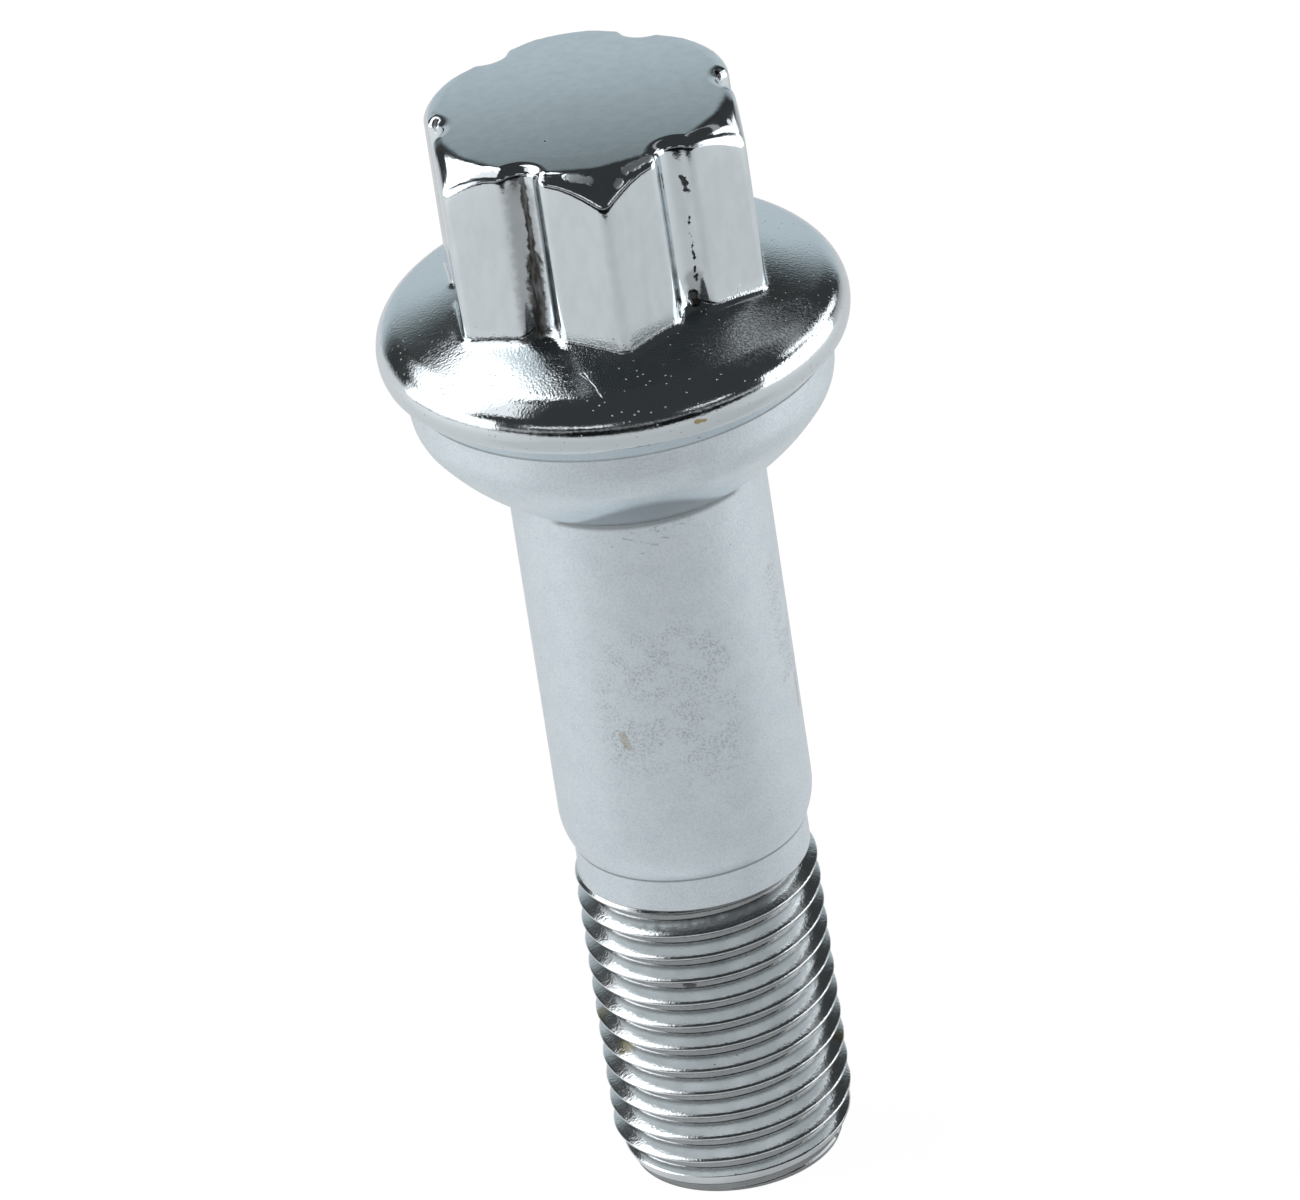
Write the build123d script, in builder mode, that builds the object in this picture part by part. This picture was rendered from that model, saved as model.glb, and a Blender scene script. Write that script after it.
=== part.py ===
"""Wheel bolt: one forged and rolled piece with a fluted hexagon head, a ball seat and a fine thread.

The bolt stands on its threaded end, with +Z up along its axis and the origin in the middle of the end face.
Sizes are in millimetres and angles in degrees.
"""

import os
from math import acos, asin, cos, degrees, radians, sin, sqrt, tan

from build123d import *

# Lengths along the axis
bolt_length = 67.4
under_seat_length = 44.45
thread_length = 19.1
neck_length = 1.95

# Rolled thread
thread_diameter = 13.76
thread_pitch = 1.5
thread_angle = 60.0
thread_depth_share = 0.6134
crest_flat_share = 1 / 8
end_diameter = 11.9
end_chamfer_length = 2.0

# Neck, shoulder and shank
neck_relief = 0.28
shoulder_step = 0.6
shoulder_radius = 4.3
seat_fillet = 0.4

# Ball seat
seat_ball_radius = 14.0
seat_diameter = 23.75
seat_shoulder_radius = 2.75
seat_height = 6.8

# Flange
flange_diameter = 26.4
rim_height = 2.05
rim_rounding = 2.2
rim_undercut_angle = 23.0
flange_slope = 21.0

# Fluted hexagon head
across_flats = 16.85
corner_rounding = 0.8
flute_radius = 1.2
flute_depth = 0.7
flute_edge_rounding = 0.7
head_fillet = 0.6
crown_dome = 0.25
crown_drop = 1.55
crown_angle = 36.0
crown_rounding = 1.0

# Radii and heights that follow from the sizes above
thread_radius = thread_diameter / 2
neck_radius = thread_radius - neck_relief
shank_radius = neck_radius + shoulder_step
seat_radius = seat_diameter / 2
flange_radius = flange_diameter / 2
end_radius = end_diameter / 2

# The shoulder is an arc tangent to the shank that ends on the neck.
shoulder_turn = acos(1 - shoulder_step / shoulder_radius)
shoulder_z = thread_length + neck_length
shank_z = shoulder_z + shoulder_radius * sin(shoulder_turn)

# The ball would meet the shank at the under-seat height, where a fillet joins them.
ball_z = under_seat_length + sqrt(seat_ball_radius**2 - shank_radius**2)
fillet_r = shank_radius + seat_fillet
fillet_z = ball_z - sqrt((seat_ball_radius + seat_fillet) ** 2 - fillet_r**2)
fillet_share = seat_ball_radius / (seat_ball_radius + seat_fillet)
ball_start = (fillet_r * fillet_share, ball_z - (ball_z - fillet_z) * fillet_share)

# A rounding joins the ball to the seat's short side.
rounding_r = seat_radius - seat_shoulder_radius
rounding_z = ball_z - sqrt((seat_ball_radius - seat_shoulder_radius) ** 2 - rounding_r**2)
ball_turn = asin((ball_z - rounding_z) / (seat_ball_radius - seat_shoulder_radius))
ball_edge = (seat_ball_radius * cos(ball_turn), ball_z - seat_ball_radius * sin(ball_turn))
crease_z = under_seat_length + seat_height

# The rim is one arc, from its lower edge round its widest circle to the sloping top.
rim_z = crease_z + rim_height
rim_r = flange_radius - rim_rounding
slope = radians(flange_slope)
undercut = radians(rim_undercut_angle)
rim_edge = (rim_r + rim_rounding * cos(undercut), rim_z - rim_rounding * sin(undercut))
rim_top = (rim_r + rim_rounding * sin(slope), rim_z + rim_rounding * cos(slope))
flute_bottom_radius = across_flats / 2 - flute_depth
slope_end_r = flute_bottom_radius / 2
slope_end_z = rim_top[1] + (rim_top[0] - slope_end_r) * tan(slope)

# The crown is a low dome that turns into a cone at the head's corners.
corner_radius = across_flats / sqrt(3) - corner_rounding * (2 / sqrt(3) - 1)
crown_lean = radians(crown_angle)
crown_edge = (corner_radius - crown_drop * tan(crown_lean), bolt_length - crown_dome)
crown_dome_radius = (crown_edge[0] ** 2 + crown_dome**2) / (2 * crown_dome)
cone_end = (flange_radius, crown_edge[1] - (flange_radius - crown_edge[0]) / tan(crown_lean))

# The thread groove is a flat-bottomed V, cut a little past the crest and past both ends.
thread_depth = thread_depth_share * thread_pitch
groove_overshoot = 0.1
flank_slope = tan(radians(thread_angle / 2))
groove_half_width = thread_pitch * (1 - crest_flat_share) / 2
groove_mouth = groove_half_width + groove_overshoot * flank_slope
groove_root = groove_half_width - thread_depth * flank_slope
turning_radius = thread_radius + groove_overshoot
chamfer_top = end_chamfer_length * (turning_radius - end_radius) / (thread_radius - end_radius)

os.makedirs("parts", exist_ok=True)

with BuildPart() as wheel_bolt:
    # Thread rod, longer than the thread at both ends so that the groove starts and stops in waste
    with BuildSketch(Plane.XY.offset(-2 * thread_pitch)):
        Circle(thread_radius)
    extrude(amount=thread_length + 4 * thread_pitch)

    # Right-hand thread groove
    with BuildLine() as groove_path:
        Helix(
            pitch=thread_pitch,
            height=thread_length + 2.5 * thread_pitch,
            radius=thread_radius,
            center=(0, 0, -1.5 * thread_pitch),
        )
    with BuildSketch(Plane(groove_path.line @ 0, x_dir=(1, 0, 0), z_dir=groove_path.line % 0)):
        with BuildLine():
            Polyline(
                (-thread_depth, -groove_root),
                (groove_overshoot, -groove_mouth),
                (groove_overshoot, groove_mouth),
                (-thread_depth, groove_root),
                close=True,
            )
        make_face()
    sweep(path=groove_path.line, is_frenet=True, mode=Mode.SUBTRACT)

    # Chamfered end and the run-out to the neck, trimmed by a turned shape that clears the crests
    with BuildSketch(Plane.XZ):
        with BuildLine():
            Polyline(
                (0, 0),
                (end_radius, 0),
                (turning_radius, chamfer_top),
                (turning_radius, thread_length - (turning_radius - neck_radius)),
                (neck_radius, thread_length),
                (0, thread_length),
                close=True,
            )
        make_face()
    revolve(axis=Axis.Z, mode=Mode.INTERSECT)

    # Neck, shoulder, shank, ball seat and flange
    with BuildSketch(Plane.XZ) as body_section:
        with BuildLine():
            Polyline((0, thread_length), (neck_radius, thread_length), (neck_radius, shoulder_z))
            CenterArc(
                (shank_radius - shoulder_radius, shank_z),
                shoulder_radius,
                -degrees(shoulder_turn),
                degrees(shoulder_turn),
            )
            Line((shank_radius, shank_z), (shank_radius, fillet_z))
            RadiusArc((shank_radius, fillet_z), ball_start, seat_fillet)
            RadiusArc(ball_start, ball_edge, -seat_ball_radius)
            RadiusArc(ball_edge, (seat_radius, rounding_z), -seat_shoulder_radius)
            Polyline((seat_radius, rounding_z), (seat_radius, crease_z), rim_edge)
            RadiusArc(rim_edge, rim_top, -rim_rounding)
            Polyline(
                rim_top,
                (slope_end_r, slope_end_z),
                (0, slope_end_z),
                (0, thread_length),
            )
        make_face()
    revolve(axis=Axis.Z)

    # Fluted hexagon head, with a corner towards -Y and a flute in the middle of each flat
    with BuildSketch(Plane.XY.offset(rim_z)) as head_section:
        RegularPolygon(across_flats / 2, side_count=6, major_radius=False, rotation=30)
        with PolarLocations(flute_bottom_radius + flute_radius, 6):
            Circle(flute_radius, mode=Mode.SUBTRACT)
        outline_points = head_section.vertices().sort_by_distance((0, 0, rim_z))
        fillet(outline_points[-6:], corner_rounding)
        fillet(outline_points[:-6], flute_edge_rounding)
    extrude(amount=bolt_length - rim_z)
    fillet(wheel_bolt.edges(Select.NEW), head_fillet)

    # Crown: the dome and the cone, with a rounding between them, turned off the head
    with BuildSketch(Plane.XZ) as crown_section:
        with BuildLine():
            RadiusArc((0, bolt_length), crown_edge, crown_dome_radius)
            Polyline(
                crown_edge,
                cone_end,
                (flange_radius, bolt_length + crown_rounding),
                (0, bolt_length + crown_rounding),
                (0, bolt_length),
            )
        make_face()
        fillet(crown_section.vertices().sort_by_distance(crown_edge)[0], crown_rounding)
    revolve(axis=Axis.Z, mode=Mode.SUBTRACT)

wheel_bolt.part.label = "wheel_bolt"
export_step(wheel_bolt.part, "parts/wheel_bolt.step")
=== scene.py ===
"""Plated wheel bolt that stands on its threaded end in a pale studio.

The skin of the bolt is built ring by ring from the end face up to the crown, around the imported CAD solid.
All sizes are in metres in the frame of the CAD: +Z along the axis, origin in the middle of the end face.
"""

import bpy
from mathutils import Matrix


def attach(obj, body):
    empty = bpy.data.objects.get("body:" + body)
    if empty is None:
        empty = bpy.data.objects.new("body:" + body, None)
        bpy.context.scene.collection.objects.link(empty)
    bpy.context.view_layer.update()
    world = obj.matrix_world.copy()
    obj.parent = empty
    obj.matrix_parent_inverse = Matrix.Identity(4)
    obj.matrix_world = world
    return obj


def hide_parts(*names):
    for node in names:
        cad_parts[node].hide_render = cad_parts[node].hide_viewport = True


bl_info = {
    "name": "Wheel bolt",
    "version": (1, 0, 0),
    "blender": (4, 5, 0),
    "location": "3D View > Sidebar > Bolt",
    "description": "Builds a plated wheel bolt and the pale studio that it stands in",
    "category": "Object",
}

from math import acos, asin, atan2, cos, pi, radians, sin, sqrt, tan
from typing import NamedTuple

import bpy
import numpy as np
from bpy.props import FloatProperty, FloatVectorProperty, PointerProperty
from mathutils import Matrix, Vector

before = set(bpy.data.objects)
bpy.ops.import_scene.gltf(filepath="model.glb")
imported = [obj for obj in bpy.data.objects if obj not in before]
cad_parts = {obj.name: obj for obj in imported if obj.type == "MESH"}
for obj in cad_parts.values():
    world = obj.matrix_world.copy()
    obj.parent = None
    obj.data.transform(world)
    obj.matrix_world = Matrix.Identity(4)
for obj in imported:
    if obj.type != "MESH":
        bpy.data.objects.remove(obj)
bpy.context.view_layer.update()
NODE = "wheel_bolt"
MM = 0.001
PHOTO_WIDTH = 1300
SENSOR_WIDTH = 36.0
BRIGHT, SATIN, ROLLED = range(3)

# the head's lobes, and the angle from the middle of a flat to a corner
LOBES = 6
HALF_LOBE = pi / LOBES
# points across half a lobe: its flute, the flute's edge and the corner, and places along the flat
FLUTE_POINTS = 10
EDGE_POINTS = 7
CORNER_POINTS = 7
FLAT_PLACES = 0.06, 0.25, 0.5, 0.75, 0.94
# rows of faces from the rim to the middle of the crown
FLANGE_ROWS = 8
FOOT_ROWS = 7
WALL_ROWS = 8
EDGE_ROWS = 6
CROWN_ROWS = 24
# how much the crown's rows crowd towards its edge
CROWN_CROWDING = 1.7
# radius of the crown's plain middle, as a share of the narrowest part of its edge, and the rings inside it
CAP_SHARE = 0.92
CAP_RINGS = 0.75, 0.5, 0.25, 0.08
# angles from a flute's middle between which the crown's edge changes from its rounding there to its plain one
MOUTH_ANGLES = radians(10), radians(17)
# the thread's section: rows across a pitch, and its flanks and roundings as shares of the pitch and the depth
THREAD_ROWS = 22
FLANK_START = 0.363
FLANK_WIDTH = 0.316
THREAD_ROUNDING = 0.09
# pitches by which the thread's strip starts below the end face and runs on past the neck
THREAD_LEAD = 1.5
# steps over which the thread's slopes are measured
SMALL_TURN = 1e-4
SMALL_RISE = 1e-6
# radius of the ring inside the end face, as a share of the face's radius
END_RING = 0.5
# height of the band that doubles the number of points between the thread and the neck
NECK_STEP = 0.00008
# distance of the rings beside a sharp crease
CREASE_STEP = 0.00006
# a normal that is left to the faces around its point
AUTOMATIC = (0.0, 0.0, 0.0)


def length(name, description, millimetres):
    """A length property, given in millimetres and kept in metres."""
    value = millimetres * MM
    return FloatProperty(
        name=name, description=description, default=value, precision=5, unit="LENGTH", subtype="DISTANCE"
    )


def angle(name, description, value):
    """An angle property, given in degrees."""
    return FloatProperty(name=name, description=description, default=radians(value), subtype="ANGLE")


def share(name, description, value):
    """A share from nothing to all."""
    return FloatProperty(
        name=name, description=description, default=value, min=0.0, max=1.0, subtype="FACTOR"
    )


def colour(name, description, value):
    """A colour property."""
    return FloatVectorProperty(
        name=name, description=description, default=value, size=3, min=0.0, max=1.0, subtype="COLOR"
    )


class WheelBoltSizes(bpy.types.PropertyGroup):
    """Sizes of the bolt, from its end face to its crown."""

    bolt_length: length("Length", "From the end face to the middle of the crown", 67.4)
    thread_radius: length("Thread radius", "Radius over the thread's crests", 6.88)
    thread_pitch: length("Thread pitch", "Rise of the thread in one turn", 1.5)
    thread_depth: length("Thread depth", "Depth of the rolled groove below the crests", 0.92)
    thread_length: length("Thread length", "From the end face to the neck", 19.1)
    end_radius: length("End radius", "Radius of the flat end face", 5.95)
    run_out: length("Run-out", "Height over which the thread fades into the neck", 0.5)
    end_softness: length("End softness", "Rounding between the thread and the end's chamfer", 0.08)
    end_chamfer: length("End chamfer", "Height of the chamfer at the end", 2.0)
    neck_radius: length("Neck radius", "Radius of the neck above the thread", 6.6)
    neck_top: length("Neck top", "Height at which the shoulder starts", 21.05)
    shoulder_radius: length("Shoulder radius", "Radius of the shoulder's curve", 4.3)
    shank_radius: length("Shank radius", "Radius of the plain shank", 7.2)
    seat_bottom: length("Seat bottom", "Height at which the ball would meet the shank", 44.45)
    seat_fillet: length("Seat fillet", "Fillet between the shank and the ball", 0.4)
    ball_radius: length("Ball radius", "Radius of the ball seat", 14.0)
    seat_radius: length("Seat radius", "Radius of the seat's short side", 11.875)
    seat_rounding: length("Seat rounding", "Rounding between the ball and the seat's side", 2.75)
    crease_height: length("Crease height", "Height of the crease under the rim", 51.25)
    flange_radius: length("Flange radius", "Radius of the flange's widest circle", 13.2)
    rim_height: length("Rim height", "Height of the flange's widest circle", 53.3)
    rim_rounding: length("Rim rounding", "Radius of the rim's section", 2.2)
    rim_undercut: angle("Rim undercut", "How far the rim turns under its widest circle", 23)
    flange_slope: angle("Flange slope", "Slope of the flange's top", 21)
    half_flats: length("Half across flats", "Distance from the axis to a flat", 8.425)
    corner_rounding: length("Corner rounding", "Rounding of the hexagon's corners", 0.8)
    flute_radius: length("Flute radius", "Radius of the flute in each flat", 1.2)
    flute_depth: length("Flute depth", "Depth of the flute below its flat", 0.7)
    flute_edge: length("Flute edge", "Rounding of the flute's edges", 0.7)
    foot_fillet: length("Foot fillet", "Reach of the fillet at the head's foot", 0.38)
    flute_foot: length("Flute foot", "Reach of the fillet at a flute's foot", 0.5)
    crown_drop: length("Crown drop", "How far the crown falls at the corners", 1.55)
    crown_angle: angle("Crown angle", "Angle between the crown's cone and the axis", 36)
    crown_rounding: length("Crown rounding", "Rounding between the crown's cone and its flat", 1.0)
    crown_edge: length("Crown edge", "Rounding between the crown and the head's sides", 0.55)
    mouth_edge: length("Mouth edge", "Rounding between the crown and a flute", 0.65)
    crown_dome: length("Crown dome", "How far the crown's top falls from its middle to its edge", 0.25)


class WheelBoltFinish(bpy.types.PropertyGroup):
    """Colours and roughnesses of the plating, its marks, its dirt and its painted shade."""

    bright_colour: colour("Bright plating", "Plating of the head and the flange", (0.745, 0.805, 0.84))
    bright_shade: colour("Bright shade", "Duller streaks of the bright plating", (0.69, 0.75, 0.785))
    bright_roughness: share("Bright roughness", "Roughness of the bright plating", 0.075)
    satin_colour: colour("Satin plating", "Plating of the seat, shank and neck", (0.84, 0.925, 0.975))
    satin_shade: colour("Satin shade", "Duller grain of the satin plating", (0.7, 0.785, 0.845))
    satin_roughness: share("Satin roughness", "Roughness of the satin plating", 0.29)
    rolled_colour: colour("Rolled plating", "Plating of the thread", (0.81, 0.85, 0.87))
    rolled_shade: colour("Rolled shade", "Duller clouds of the thread's plating", (0.71, 0.75, 0.77))
    rolled_roughness: share("Rolled roughness", "Roughness of the thread's plating", 0.14)
    scuff_colour: colour("Scuffs", "Rubbed places and specks on the shank", (0.36, 0.38, 0.4))
    # also the colour of painted shade: in the creases, the thread's grooves and run-out, under the seat and
    # on the front flutes' edges
    pit_colour: colour("Pits", "Pits, creases and grooves", (0.06, 0.06, 0.062))
    grime_colour: colour("Grime", "Dirt in a flute and at the head's foot", (0.06, 0.05, 0.042))
    stain_colour: colour("Stains", "Yellow stains", (0.44, 0.37, 0.19))


class WheelBoltStage(bpy.types.PropertyGroup):
    """The camera and the studio."""

    view_height: angle("View height", "How far the camera looks down", 29.5)
    view_turn: angle("View turn", "How far the camera is turned about the bolt", -2.7)
    view_roll: angle("View roll", "How far the camera is rolled", -8.75)
    view_distance: length("View distance", "From the camera to the bolt's axis", 774)
    aim_height: length("Aim height", "Height on the axis that the camera looks at", 35.48)
    aim_side: length("Aim side", "How far beside the axis the camera looks", -0.316)
    pixels_per_metre: FloatProperty(
        name="Pixels per metre", description="Scale of the picture at the axis", default=17928.0
    )
    floor_colour: colour("Floor colour", "Colour of the floor", (0.93, 0.93, 0.93))


def following(ring):
    """Each point's next one round a ring."""
    return ring[1:] + ring[:1]


class Skin:
    """Collects the bolt's skin, with a finish for each face."""

    def __init__(self):
        self.points = []
        self.normals = []
        self.faces = []
        self.finishes = []

    def ring(self, points):
        """Adds a ring of points and returns their numbers."""
        start = len(self.points)
        self.points.extend(tuple(point) for point in points)
        self.normals.extend([AUTOMATIC] * (len(self.points) - start))
        return list(range(start, len(self.points)))

    def point(self, place, normal):
        """Adds a point with its own normal and returns its number."""
        self.points.append(tuple(place))
        self.normals.append(tuple(normal))
        return len(self.points) - 1

    def face(self, corners, finish):
        """Adds a face, without corners that fall together."""
        kept = [c for i, c in enumerate(corners) if c != corners[i - 1]]
        if len(set(kept)) > 2:
            self.faces.append(kept)
            self.finishes.append(finish)

    def band(self, low, high, finish):
        """Joins two rings of the same count."""
        for corners in zip(low, following(low), following(high), high):
            self.face(corners, finish)

    def step_band(self, low, high, finish):
        """Joins a ring to one with twice as many points."""
        evens = high[::2]
        for i, j, a, b, c in zip(low, following(low), evens, high[1::2], following(evens)):
            self.face((i, b, a), finish)
            self.face((i, j, b), finish)
            self.face((j, c, b), finish)

    def cap(self, ring, centre, finish, upwards):
        """Closes a ring with a fan round a centre point."""
        middle = self.ring([centre])[0]
        for i, j in zip(ring, following(ring)):
            self.face((i, j, middle) if upwards else (j, i, middle), finish)

    def mesh(self, name):
        """The whole skin as a smooth mesh, with its finishes and normals."""
        mesh = bpy.data.meshes.new(name)
        mesh.from_pydata(self.points, [], self.faces)
        mesh.polygons.foreach_set("material_index", self.finishes)
        mesh.polygons.foreach_set("use_smooth", [True] * len(mesh.polygons))
        mesh.update()
        if mesh.validate():
            raise RuntimeError("the bolt's skin has faulty faces")
        mesh.normals_split_custom_set_from_vertices(self.normals)
        return mesh


def arc(centre, radius, first, last, steps):
    """Points (r, z) on an arc, at angles from the horizontal in radians, both ends included."""
    turns = np.linspace(first, last, steps + 1)
    return [(centre[0] + radius * cos(t), centre[1] + radius * sin(t)) for t in turns]


def line(first, last, steps):
    """Points (r, z) on a straight line, both ends included."""
    first, last = np.array(first), np.array(last)
    return [tuple(first + (last - first) * i / steps) for i in range(steps + 1)]


def bend(first, knee, last, steps):
    """Points on a quadratic curve between two arrays of points, ends included."""
    rows = []
    for u in np.linspace(0, 1, steps + 1):
        rows.append(first * (1 - u) ** 2 + knee * (2 * u * (1 - u)) + last * u**2)
    return rows


def circle_ring(radius, height, turns):
    """A level ring of points."""
    return [(radius * cos(t), radius * sin(t), height) for t in turns]


def joined(flat, heights):
    """Level points with their heights."""
    return np.column_stack((flat, heights))


def softened(x, rounding):
    """A ramp that is 0 below 0 and follows x above it, with a rounded corner."""
    return (x + sqrt(x * x + rounding * rounding)) / 2


def half_lobe(s):
    """Section of the head from the middle of a flute to a corner: points and outward normals.

    The corner lies along +x and the flat's normal is turned 30 degrees below it.
    """
    flat_normal = np.array((cos(HALF_LOBE), -sin(HALF_LOBE)))
    along = np.array((sin(HALF_LOBE), cos(HALF_LOBE)))
    flute_centre = s.half_flats - s.flute_depth + s.flute_radius
    inner = s.flute_radius - s.flute_depth + s.flute_edge
    edge_place = sqrt((s.flute_radius + s.flute_edge) ** 2 - inner**2)
    flute_turn = atan2(edge_place, inner)
    rows = []
    for t in np.linspace(0, flute_turn, FLUTE_POINTS)[:-1]:
        normal = cos(t) * flat_normal - sin(t) * along
        rows.append((flute_centre * flat_normal - s.flute_radius * normal, normal))
    edge_centre = (s.half_flats - s.flute_edge) * flat_normal + edge_place * along
    for t in np.linspace(flute_turn, 0, EDGE_POINTS):
        normal = cos(t) * flat_normal - sin(t) * along
        rows.append((edge_centre + s.flute_edge * normal, normal))
    corner_place = (s.half_flats - s.corner_rounding) * tan(HALF_LOBE)
    for u in FLAT_PLACES:
        place = edge_place + (corner_place - edge_place) * u
        rows.append((s.half_flats * flat_normal + place * along, flat_normal))
    corner_centre = np.array(((s.half_flats - s.corner_rounding) / cos(HALF_LOBE), 0.0))
    for t in np.linspace(-HALF_LOBE, 0, CORNER_POINTS):
        normal = np.array((cos(t), sin(t)))
        rows.append((corner_centre + s.corner_rounding * normal, normal))
    return rows


def head_section(s):
    """Whole section of the head, counter-clockwise from the middle of a flute: points and outward normals."""
    half = half_lobe(s)
    mirrored = [(point * (1, -1), normal * (1, -1)) for point, normal in half[-2:0:-1]]
    points = []
    normals = []
    for lobe in range(LOBES):
        turn = -pi / 2 + 2 * pi * lobe / LOBES
        spin = np.array(((cos(turn), -sin(turn)), (sin(turn), cos(turn))))
        for point, normal in half + mirrored:
            points.append(spin @ point)
            normals.append(spin @ normal)
    return np.array(points), np.array(normals)


def crown_height(s, flat):
    """Height of the crown at level points: a low dome, a rounding and a cone."""
    radii = np.linalg.norm(flat, axis=1)
    corner = s.half_flats / cos(HALF_LOBE) - s.corner_rounding * (1 / cos(HALF_LOBE) - 1)
    knee = corner - s.crown_drop * tan(s.crown_angle)
    reach = s.crown_rounding * tan((pi / 2 - s.crown_angle) / 2)
    flat_end = knee - reach
    cone_start = knee + reach * sin(s.crown_angle)
    rounding = s.bolt_length - s.crown_rounding
    rounding = rounding + np.sqrt(np.maximum(s.crown_rounding**2 - (radii - flat_end) ** 2, 0))
    cone = s.bolt_length - (radii - knee) / tan(s.crown_angle)
    turned = np.where(radii < flat_end, 0, s.bolt_length - np.where(radii < cone_start, rounding, cone))
    return s.bolt_length - turned - s.crown_dome * np.minimum(radii / flat_end, 1) ** 2


def slope_start(s):
    """Radius at which the rim's rounding ends and the flange's slope starts."""
    return s.flange_radius - s.rim_rounding + s.rim_rounding * sin(s.flange_slope)


def flange_height(s, radii):
    """Height of the flange's sloping top at the given radii."""
    start_z = s.rim_height + s.rim_rounding * cos(s.flange_slope)
    return start_z + (slope_start(s) - radii) * tan(s.flange_slope)


def body_profile(s):
    """Profile (r, z) from the neck up to the flange's slope, and how many of its points end at the crease."""
    turn = acos(1 - (s.shank_radius - s.neck_radius) / s.shoulder_radius)
    shank_start = s.neck_top + s.shoulder_radius * sin(turn)
    ball_z = s.seat_bottom + sqrt(s.ball_radius**2 - s.shank_radius**2)
    fillet_r = s.shank_radius + s.seat_fillet
    fillet_z = ball_z - sqrt((s.ball_radius + s.seat_fillet) ** 2 - fillet_r**2)
    fillet_turn = asin((ball_z - fillet_z) / (s.ball_radius + s.seat_fillet))
    rounding_r = s.seat_radius - s.seat_rounding
    rounding_z = ball_z - sqrt((s.ball_radius - s.seat_rounding) ** 2 - rounding_r**2)
    ball_turn = asin((ball_z - rounding_z) / (s.ball_radius - s.seat_rounding))
    rim_centre = (s.flange_radius - s.rim_rounding, s.rim_height)
    rim = arc(rim_centre, s.rim_rounding, -s.rim_undercut, pi / 2 - s.flange_slope, steps=26)
    neck_start = (s.neck_radius, s.thread_length + NECK_STEP)
    profile = line(neck_start, (s.neck_radius, s.neck_top - CREASE_STEP), steps=4)
    profile.append((s.neck_radius, s.neck_top))
    shoulder_centre = (s.shank_radius - s.shoulder_radius, shank_start)
    profile += arc(shoulder_centre, s.shoulder_radius, CREASE_STEP / s.shoulder_radius - turn, 0, steps=10)
    profile += line((s.shank_radius, shank_start), (s.shank_radius, fillet_z), steps=16)[1:]
    profile += arc((fillet_r, fillet_z), s.seat_fillet, pi, pi - fillet_turn, steps=6)[1:]
    profile += arc((0, ball_z), s.ball_radius, -fillet_turn, -ball_turn, steps=12)[1:]
    profile += arc((rounding_r, rounding_z), s.seat_rounding, -ball_turn, 0, steps=12)[1:]
    profile += line((s.seat_radius, rounding_z), (s.seat_radius, s.crease_height - CREASE_STEP), steps=3)[1:]
    profile.append((s.seat_radius, s.crease_height))
    below_crease = len(profile)
    profile += line((s.seat_radius + CREASE_STEP, s.crease_height + CREASE_STEP), rim[0], steps=4)[:-1]
    profile += rim
    return profile, below_crease


def thread_rise(place):
    """Share of the thread's depth at a share of its pitch, with the crest in the middle."""
    along = (FLANK_START - abs(place - 0.5)) / FLANK_WIDTH
    return softened(along, THREAD_ROUNDING) - softened(along - 1, THREAD_ROUNDING)


def thread_surface(s, turn, height):
    """Radius of the thread at a turn round the axis and a height, with its chamfered end and its run-out."""
    place = (height / s.thread_pitch - turn / (2 * pi) + 0.5) % 1
    radius = s.thread_radius - s.thread_depth * (1 - thread_rise(place))
    chamfer = s.end_radius + height * (s.thread_radius - s.end_radius) / s.end_chamfer
    radius = chamfer - softened(chamfer - radius, s.end_softness)
    run_out = min((s.thread_length - height) / s.run_out, 1)
    return s.neck_radius + (radius - s.neck_radius) * run_out**2 * (3 - 2 * run_out)


def thread_point(s, turn, height):
    """A point of the thread and its normal."""
    radius = thread_surface(s, turn, height)
    outward = np.array((cos(turn), sin(turn), 0.0))
    sideways = np.array((-sin(turn), cos(turn), 0.0))
    upwards = np.array((0.0, 0.0, 1.0))
    round_slope = (thread_surface(s, turn + SMALL_TURN, height) - radius) / (SMALL_TURN * radius)
    up_slope = (thread_surface(s, turn, height + SMALL_RISE) - radius) / SMALL_RISE
    normal = outward - round_slope * sideways - up_slope * upwards
    return radius * outward + height * upwards, normal / np.linalg.norm(normal)


def add_thread(skin, s, count):
    """Rolls the thread as one long strip and returns its rings at the end face and at the neck."""
    turns = 2 * pi * np.arange(count) / count
    first_ring = skin.ring(circle_ring(s.end_radius, 0.0, turns))
    last_ring = []
    for point in circle_ring(s.neck_radius, s.thread_length, turns):
        outward = (point[0] / s.neck_radius, point[1] / s.neck_radius, 0.0)
        last_ring.append(skin.point(point, outward))
    rounds = int(s.thread_length / s.thread_pitch + 2 * THREAD_LEAD)
    numbers = {}

    def number(k, m):
        """The point after k steps round the helix and m rows up its pitch."""
        if m == THREAD_ROWS:
            k, m = k + count, 0
        if (k, m) not in numbers:
            height = s.thread_pitch * (k / count + m / THREAD_ROWS - THREAD_LEAD)
            if height <= 0:
                numbers[k, m] = first_ring[k % count]
            elif height >= s.thread_length:
                numbers[k, m] = last_ring[k % count]
            else:
                numbers[k, m] = skin.point(*thread_point(s, turns[k % count], height))
        return numbers[k, m]

    for k in range(count * rounds):
        for m in range(THREAD_ROWS):
            skin.face((number(k, m), number(k + 1, m), number(k + 1, m + 1), number(k, m + 1)), ROLLED)
    return first_ring, last_ring


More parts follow.
